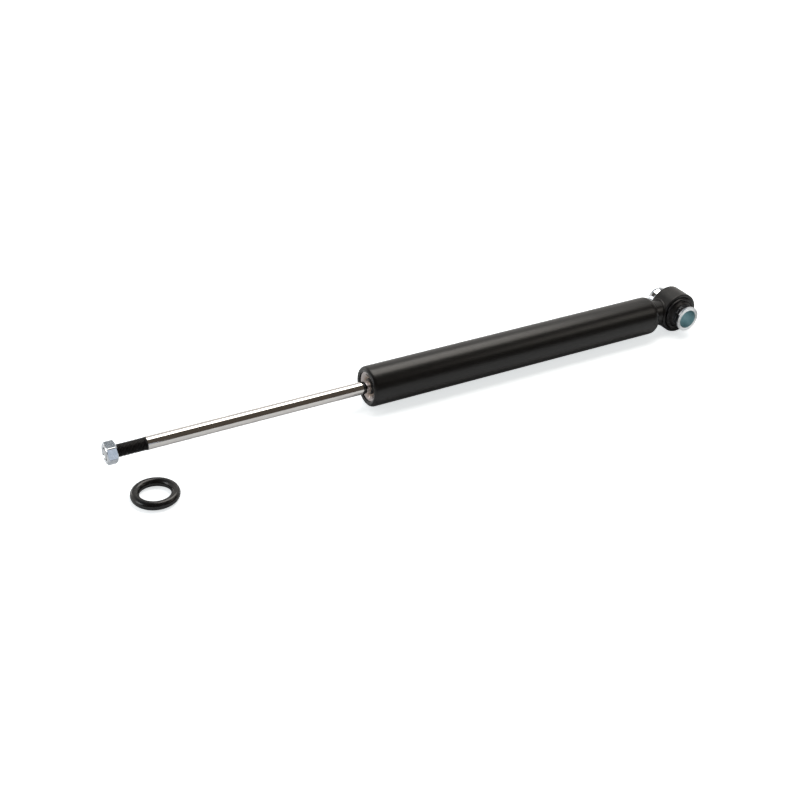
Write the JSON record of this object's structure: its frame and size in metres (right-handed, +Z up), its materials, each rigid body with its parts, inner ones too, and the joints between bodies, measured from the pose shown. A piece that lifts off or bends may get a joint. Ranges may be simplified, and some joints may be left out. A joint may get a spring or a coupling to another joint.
{
  "type": "shock absorber",
  "caption": "Telescopic twin-tube gas shock absorber with a rubber-bushed eye at one end, a chromed rod with a threaded stud and hexagon nut at the other, and a loose rubber ring.",
  "frame": {"origin": "centre of the eye: the middle of the sleeve's bore", "axes": "+X along the shock absorber's axis from the eye to the stud, +Y along the eye's bore, +Z up as it lies; the surface it lies on is at z = -21.75 mm"},
  "size_m": [0.6509, 0.0985, 0.0434],
  "materials": {
    "black_paint": "satin",
    "black_rubber": "matte",
    "zinc_plated_steel": "satin",
    "bare_steel": "satin",
    "rod_chrome": "polished",
    "sintered_iron": "matte",
    "bronze": "satin",
    "filled_ptfe": "matte"
  },
  "bodies": {
    "shock_body": {"reserve_tube": "black_paint", "base_cap": "black_paint", "eye_ring": "black_paint", "rubber_bush": "black_rubber", "closing_plate": "bare_steel", "wiper_ring": "black_rubber", "rod_seal": "black_rubber", "garter_spring": "bare_steel", "rod_guide": "sintered_iron", "guide_o_ring": "black_rubber", "guide_bush": "bronze", "pressure_tube": "bare_steel", "base_valve_body": "sintered_iron", "base_valve_pin": "bare_steel", "compression_discs": "bare_steel", "intake_spring": "bare_steel"},
    "band": {"piston_band": "filled_ptfe"},
    "rod": {"piston_rod": "rod_chrome", "rebound_bumper": "black_rubber", "rebound_retainer": "bare_steel", "stop_washer": "bare_steel", "check_spring": "bare_steel", "piston": "sintered_iron", "rebound_discs": "bare_steel", "disc_washer": "bare_steel", "piston_nut": "bare_steel"},
    "piston_check": {"check_plate": "bare_steel"},
    "foot_intake": {"intake_plate": "bare_steel"},
    "nut": {"stud_nut": "zinc_plated_steel"},
    "sleeve": {"inner_sleeve": "zinc_plated_steel"},
    "loose_ring": {"rubber_ring": "black_rubber"}
  },
  "joints": [
    {"name": "stroke", "type": "slide", "parent": "shock_body", "child": "band", "axis": [-1, 0, 0], "range_m": [0, 0.2], "stiffness_N_per_m": 200, "springref_m": -0.35},
    {"name": "rod_turn", "type": "hinge", "parent": "band", "child": "rod", "pos_m": [0.2912, 0, 0], "axis": [1, 0, 0], "continuous": true},
    {"name": "check_lift", "type": "slide", "parent": "rod", "child": "piston_check", "axis": [1, 0, 0], "range_m": [0, 0.001], "stiffness_N_per_m": 500, "springref_m": -0.001, "deforming": ["check_spring"]},
    {"name": "intake_lift", "type": "slide", "parent": "shock_body", "child": "foot_intake", "axis": [1, 0, 0], "range_m": [0, 0.001], "stiffness_N_per_m": 300, "springref_m": -0.001, "deforming": ["intake_spring"]},
    {"name": "nut_off", "type": "slide", "parent": "rod", "child": "nut", "axis": [1, 0, 0], "range_m": [0, 0.04]},
    {"name": "sleeve_twist", "type": "hinge", "parent": "shock_body", "child": "sleeve", "pos_m": [0, 0, 0], "axis": [0, 1, 0], "range_deg": [-20, 20], "stiffness_Nm_per_rad": 10},
    {"name": "ring_lift", "type": "slide", "parent": "shock_body", "child": "loose_ring", "axis": [0, 0, 1], "range_m": [0, 0.05]}
  ]
}
